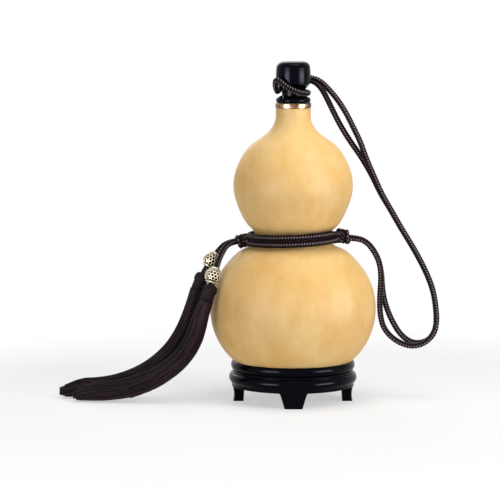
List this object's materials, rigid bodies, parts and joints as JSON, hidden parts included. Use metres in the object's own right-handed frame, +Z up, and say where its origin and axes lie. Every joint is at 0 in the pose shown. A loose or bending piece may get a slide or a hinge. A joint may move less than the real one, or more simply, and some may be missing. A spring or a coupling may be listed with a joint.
{
  "type": "gourd water bottle",
  "caption": "Hollow double-bulb gourd bottle with a screw lid, a corded waist with sling, beads and tassels, on a turned ring stand.",
  "frame": {"origin": "on the gourd's axis, at the plane of the stand's feet", "axes": "+Z up along the gourd's axis, -Y the pictured front, +X the side of the sling"},
  "size_m": [0.2678, 0.1162, 0.2378],
  "materials": {
    "gourd": "waxed dried gourd skin, satin",
    "lining": "food-safe natural lacquer coat",
    "brass": "polished",
    "lacquer": "gloss black lacquer on turned wood",
    "seal": "matte silicone washer",
    "cord": "braided silky cord",
    "bead": "antique pale gold, pierced",
    "tassel": "silk strands",
    "binding": "wound thread"
  },
  "bodies": {
    "stand": {"seat_ring": "lacquer", "base_ring": "lacquer", "foot_front": "lacquer", "foot_left": "lacquer", "foot_back": "lacquer", "foot_right": "lacquer"},
    "bottle": {"gourd_shell": "gourd", "inner_lining": "lining", "neck_collar": "brass", "waist_cord": "cord", "knot_left": "cord", "knot_right": "cord", "sling_leg_front": "cord", "sling_leg_rear": "cord", "tassel_cord_front": "cord", "tassel_cord_rear": "cord", "tassel_head_front": "tassel", "tassel_head_rear": "tassel", "tassel_binding_front": "binding", "tassel_binding_rear": "binding", "tassel_skirt_front": "tassel", "tassel_skirt_rear": "tassel"},
    "noose": {"lid_noose": "cord"},
    "lid": {"lid_body": "lacquer", "lid_thread": "brass", "lid_seal": "seal"},
    "bead_front": {"bead_front": "bead"},
    "bead_rear": {"bead_rear": "bead"}
  },
  "joints": [
    {"name": "bottle_lift", "type": "slide", "parent": "stand", "child": "bottle", "axis": [0, 0, 1], "range_m": [0, 0.06]},
    {"name": "lid_rise", "type": "slide", "parent": "bottle", "child": "noose", "axis": [0, 0, 1], "range_m": [0, 0.01125], "deforming": ["sling_leg_front", "sling_leg_rear"]},
    {"name": "lid_turn", "type": "hinge", "parent": "noose", "child": "lid", "pos_m": [0, 0, 0.21], "axis": [0, 0, 1], "range_deg": [0, 1350]},
    {"name": "bead_front_spin", "type": "hinge", "parent": "bottle", "child": "bead_front", "pos_m": [-0.05555, -0.02066, 0.09026], "axis": [0.2811, 0.3676, 0.8865], "continuous": true},
    {"name": "bead_rear_spin", "type": "hinge", "parent": "bottle", "child": "bead_rear", "pos_m": [-0.057, -0.006, 0.09959], "axis": [0.5599, 0.2687, 0.7838], "continuous": true}
  ],
  "couplings": [
    {"joint": "lid_rise", "follows": "lid_turn", "m_per_rad": 0.00047746}
  ]
}
